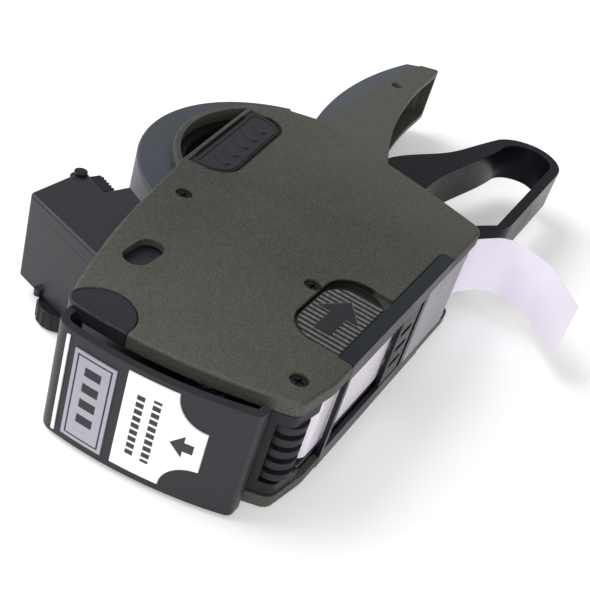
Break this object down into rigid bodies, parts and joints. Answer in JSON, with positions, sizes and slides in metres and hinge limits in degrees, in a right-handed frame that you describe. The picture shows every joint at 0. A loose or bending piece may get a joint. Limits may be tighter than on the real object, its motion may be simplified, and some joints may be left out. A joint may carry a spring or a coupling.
{
  "type": "price labeling gun",
  "caption": "Hand-held label gun with boxy body, round roll housing, print head on an arm, squeeze trigger loop, handle and hinged base door.",
  "frame": {"origin": "label roll axis where it meets the outer face of the right cover, on which the gun lies", "axes": "+Z across the gun from the right cover to the left, +X back to the handle, +Y up to the print head"},
  "size_m": [0.2573, 0.1488, 0.038],
  "materials": {
    "cover_grain": "pebble grain",
    "smooth_grey": "smooth satin",
    "badge": "satin",
    "steel": "brushed",
    "nameplate": "satin",
    "card": "coated card",
    "white_stripe": "coated",
    "black_inner": "satin",
    "label_paper": "coated paper",
    "backing_paper": "glassine",
    "core_board": "wound board",
    "trigger_black": "gloss",
    "roller_rubber": "matt rubber",
    "ink_foam": "ink-soaked foam",
    "latch_grey": "ribbed",
    "door_blue_black": "smooth",
    "pale_grey": "satin"
  },
  "bodies": {
    "housing": {"left_cover": "cover_grain", "right_cover": "cover_grain", "left_corner_cap": "smooth_grey", "right_corner_cap": "smooth_grey", "left_badge": "badge", "right_badge": "badge", "roll_housing": "smooth_grey", "right_bearing_plate": "steel", "left_bearing_plate": "steel", "cover_pillars": "steel", "left_cover_screws": "steel", "right_cover_screws": "steel", "front_plate": "smooth_grey", "nameplate": "nameplate", "instruction_card": "card", "trim_strip": "white_stripe", "brow_panel": "smooth_grey", "nose_frame": "black_inner", "platen": "steel", "label_web": "label_paper", "backing_strip": "backing_paper", "handle_left_shell": "cover_grain", "handle_right_shell": "cover_grain", "handle_spine": "smooth_grey", "main_pivot_pin": "steel", "door_hinge_stubs": "steel", "feed_axle": "steel", "applicator_axle": "steel", "pawl_pin": "steel", "roll_spindle": "steel", "ink_cartridge": "black_inner", "trigger_spring": "steel", "left_latch_spring": "steel", "right_latch_spring": "steel"},
    "trigger": {"trigger": "trigger_black"},
    "print_arm": {"print_arm": "steel", "head_housing": "smooth_grey", "head_lid": "smooth_grey", "head_cap": "trigger_black", "type_block": "black_inner", "print_bands": "roller_rubber"},
    "release_tab": {"release_tab": "trigger_black"},
    "selector_slide": {"selector_shaft": "steel"},
    "selector_dial": {"selector_knob": "trigger_black"},
    "ink_roller": {"ink_roller": "ink_foam", "ink_axle": "steel"},
    "left_latch": {"left_latch_pad": "latch_grey"},
    "right_latch": {"right_latch_pad": "latch_grey"},
    "base_door": {"base_door": "door_blue_black", "door_bar": "black_inner", "door_plate": "pale_grey"},
    "feed_wheel": {"feed_wheel": "black_inner", "ratchet_wheel": "black_inner"},
    "label_roll": {"label_roll": "label_paper", "roll_core": "core_board", "roll_spool": "black_inner"},
    "applicator_roller": {"applicator_roller": "roller_rubber"},
    "holdback_pawl": {"holdback_pawl": "steel"}
  },
  "joints": [
    {"name": "trigger_squeeze", "type": "hinge", "parent": "housing", "child": "trigger", "pos_m": [0, -0.038, 0.019], "axis": [0, 0, 1], "range_deg": [0, 14], "stiffness_Nm_per_rad": 4, "springref_deg": -6.88, "deforming": ["trigger_spring"]},
    {"name": "print_arm_swing", "type": "hinge", "parent": "housing", "child": "print_arm", "pos_m": [0, -0.038, 0.019], "axis": [0, 0, 1], "range_deg": [0, 6.31]},
    {"name": "release_tab_swing", "type": "hinge", "parent": "print_arm", "child": "release_tab", "pos_m": [-0.0563, 0.0429, 0.029], "axis": [0, 0, 1], "range_deg": [0, 20], "stiffness_Nm_per_rad": 0.02, "springref_deg": -11.46},
    {"name": "selector_pull", "type": "slide", "parent": "print_arm", "child": "selector_slide", "axis": [0, 0, -1], "range_m": [0, 0.016]},
    {"name": "selector_turn", "type": "hinge", "parent": "selector_slide", "child": "selector_dial", "pos_m": [-0.0772, 0.028, 0.003], "axis": [0, 0, 1], "continuous": true},
    {"name": "ink_roller_spin", "type": "hinge", "parent": "housing", "child": "ink_roller", "pos_m": [-0.0975, -0.032, 0.019], "axis": [0, 0, 1], "continuous": true},
    {"name": "left_latch_slide", "type": "slide", "parent": "housing", "child": "left_latch", "axis": [1, 0, 0], "range_m": [0, 0.004], "stiffness_N_per_m": 250, "springref_m": -0.002, "deforming": ["left_latch_spring"]},
    {"name": "right_latch_slide", "type": "slide", "parent": "housing", "child": "right_latch", "axis": [1, 0, 0], "range_m": [0, 0.004], "stiffness_N_per_m": 250, "springref_m": -0.002, "deforming": ["right_latch_spring"]},
    {"name": "base_door_swing", "type": "hinge", "parent": "housing", "child": "base_door", "pos_m": [0.015, -0.0558, 0.019], "axis": [0, 0, 1], "range_deg": [0, 60]},
    {"name": "feed_wheel_spin", "type": "hinge", "parent": "housing", "child": "feed_wheel", "pos_m": [-0.022, -0.0465, 0.018], "axis": [0, 0, 1], "continuous": true},
    {"name": "label_roll_spin", "type": "hinge", "parent": "housing", "child": "label_roll", "pos_m": [0, 0, 0.019], "axis": [0, 0, 1], "continuous": true},
    {"name": "applicator_roller_spin", "type": "hinge", "parent": "housing", "child": "applicator_roller", "pos_m": [-0.0918, -0.0536, 0.019], "axis": [0, 0, 1], "continuous": true},
    {"name": "holdback_pawl_lift", "type": "hinge", "parent": "housing", "child": "holdback_pawl", "pos_m": [-0.0385, -0.045, 0.0274], "axis": [0, 0, 1], "range_deg": [0, 12], "stiffness_Nm_per_rad": 0.01, "springref_deg": -11.46}
  ],
  "couplings": [
    {"joint": "print_arm_swing", "follows": "trigger_squeeze", "ratio": 0.45},
    {"joint": "feed_wheel_spin", "follows": "label_roll_spin", "ratio": -2.6852}
  ]
}
